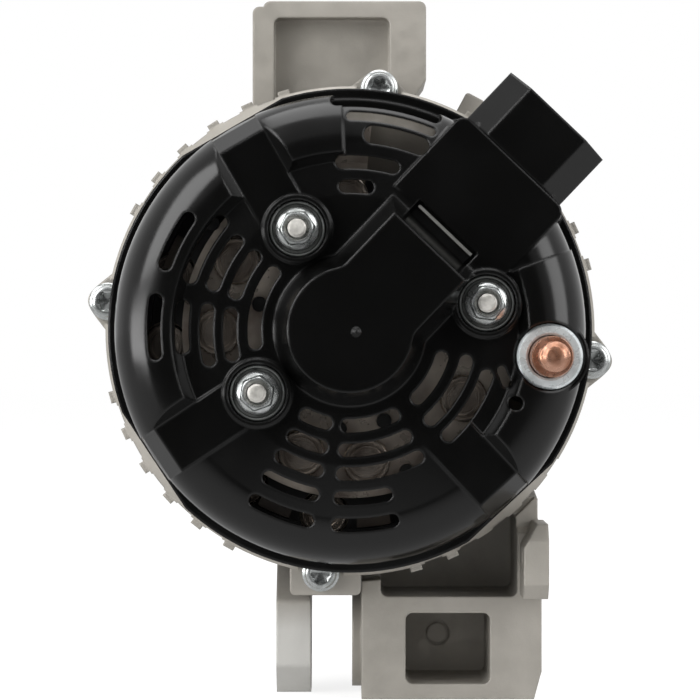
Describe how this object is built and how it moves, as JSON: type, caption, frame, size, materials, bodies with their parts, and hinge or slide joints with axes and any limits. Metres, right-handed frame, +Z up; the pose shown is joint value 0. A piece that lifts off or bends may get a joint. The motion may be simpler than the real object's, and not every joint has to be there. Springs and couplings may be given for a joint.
{
  "type": "automotive alternator",
  "caption": "Claw-pole alternator with ribbed belt pulley, cast end frames and mounting lugs, glossy rear cover, hooded plug and output stud; rotor and brushes move.",
  "frame": {"origin": "on the shaft axis, in the middle plane of the belt grooves", "axes": "+Y along the shaft towards the pulley, +Z up towards the top mounting block, +X across, towards the box bracket's side lug"},
  "size_m": [0.1446, 0.1725, 0.1954],
  "materials": {
    "dark_steel": "black phosphate coating with a light oil sheen",
    "zinc_steel": "bright zinc plating",
    "plain_steel": "turned, bare",
    "forged_steel": "forged, dark oxide",
    "white_nylon": "natural nylon",
    "copper_wire": "enamelled copper wire",
    "sheet_steel": "pressed sheet",
    "copper": "copper, lightly worn",
    "brown_resin": "moulded resin",
    "laminated_steel": "laminated sheet edges, thin varnish",
    "cast_aluminium": "die cast, as cast",
    "bare_aluminium": "pressed sheet, bare",
    "nickel_cup": "nickel plated, machined",
    "black_resin": "glass-filled resin",
    "carbon": "pressed carbon",
    "black_gloss": "smooth moulded, glossy",
    "tinned_brass": "tinned",
    "grey_steel": "plain zinc passivated",
    "bearing_steel": "ground and polished"
  },
  "bodies": {
    "housing": {"stator_core": "laminated_steel", "stator_winding": "copper_wire", "drive_end_frame": "cast_aluminium", "bearing_retainer": "plain_steel", "retainer_screws": "zinc_steel", "rear_end_frame": "cast_aluminium", "through_bolts": "zinc_steel", "negative_heat_sink": "cast_aluminium", "positive_heat_sink": "cast_aluminium", "positive_diodes": "nickel_cup", "negative_diodes": "nickel_cup", "terminal_block": "black_resin", "phase_terminals": "copper", "stud_insulators": "black_resin", "cover_studs": "zinc_steel", "output_stud": "copper", "output_ring": "zinc_steel", "brush_springs": "plain_steel", "brush_holder": "black_resin", "voltage_regulator": "black_gloss", "regulator_heat_sink": "bare_aluminium", "connector_pins": "tinned_brass", "rear_cover": "black_gloss", "cover_collars": "grey_steel", "cover_nuts": "zinc_steel", "front_bearing_outer_race": "bearing_steel", "front_bearing_shields": "sheet_steel", "rear_bearing_outer_race": "bearing_steel", "rear_bearing_shields": "sheet_steel"},
    "rotor": {"pulley": "dark_steel", "pulley_nut": "zinc_steel", "front_spacer": "plain_steel", "rotor_shaft": "plain_steel", "front_claw_pole": "forged_steel", "rear_claw_pole": "forged_steel", "coil_bobbin": "white_nylon", "field_coil": "copper_wire", "front_fan": "sheet_steel", "rear_fan": "sheet_steel", "slip_rings": "copper", "slip_ring_insulator": "brown_resin", "front_bearing_inner_race": "bearing_steel", "rear_bearing_inner_race": "bearing_steel"},
    "front_ball_cage": {"front_bearing_cage": "sheet_steel", "front_bearing_balls": "bearing_steel"},
    "rear_ball_cage": {"rear_bearing_cage": "sheet_steel", "rear_bearing_balls": "bearing_steel"},
    "brush_one": {"brush_1": "carbon"},
    "brush_two": {"brush_2": "carbon"},
    "sliding_bush": {"pivot_bush": "plain_steel"}
  },
  "joints": [
    {"name": "rotor_spin", "type": "hinge", "parent": "housing", "child": "rotor", "pos_m": [0, 0, 0], "axis": [0, 1, 0], "continuous": true},
    {"name": "front_cage_spin", "type": "hinge", "parent": "housing", "child": "front_ball_cage", "pos_m": [0, -0.025, 0], "axis": [0, 1, 0], "continuous": true},
    {"name": "rear_cage_spin", "type": "hinge", "parent": "housing", "child": "rear_ball_cage", "pos_m": [0, -0.1135, 0], "axis": [0, 1, 0], "continuous": true},
    {"name": "brush_1_slide", "type": "slide", "parent": "housing", "child": "brush_one", "axis": [0.6896, 0, 0.7242], "range_m": [0, 0.0035], "stiffness_N_per_m": 300, "springref_m": -0.008, "deforming": ["brush_springs"]},
    {"name": "brush_2_slide", "type": "slide", "parent": "housing", "child": "brush_two", "axis": [0.6896, 0, 0.7242], "range_m": [0, 0.0035], "stiffness_N_per_m": 300, "springref_m": -0.008, "deforming": ["brush_springs"]},
    {"name": "bush_slide", "type": "slide", "parent": "housing", "child": "sliding_bush", "axis": [-1, 0, 0], "range_m": [0, 0.004]}
  ],
  "couplings": [
    {"joint": "front_cage_spin", "follows": "rotor_spin", "ratio": 0.36562},
    {"joint": "rear_cage_spin", "follows": "rotor_spin", "ratio": 0.384}
  ]
}
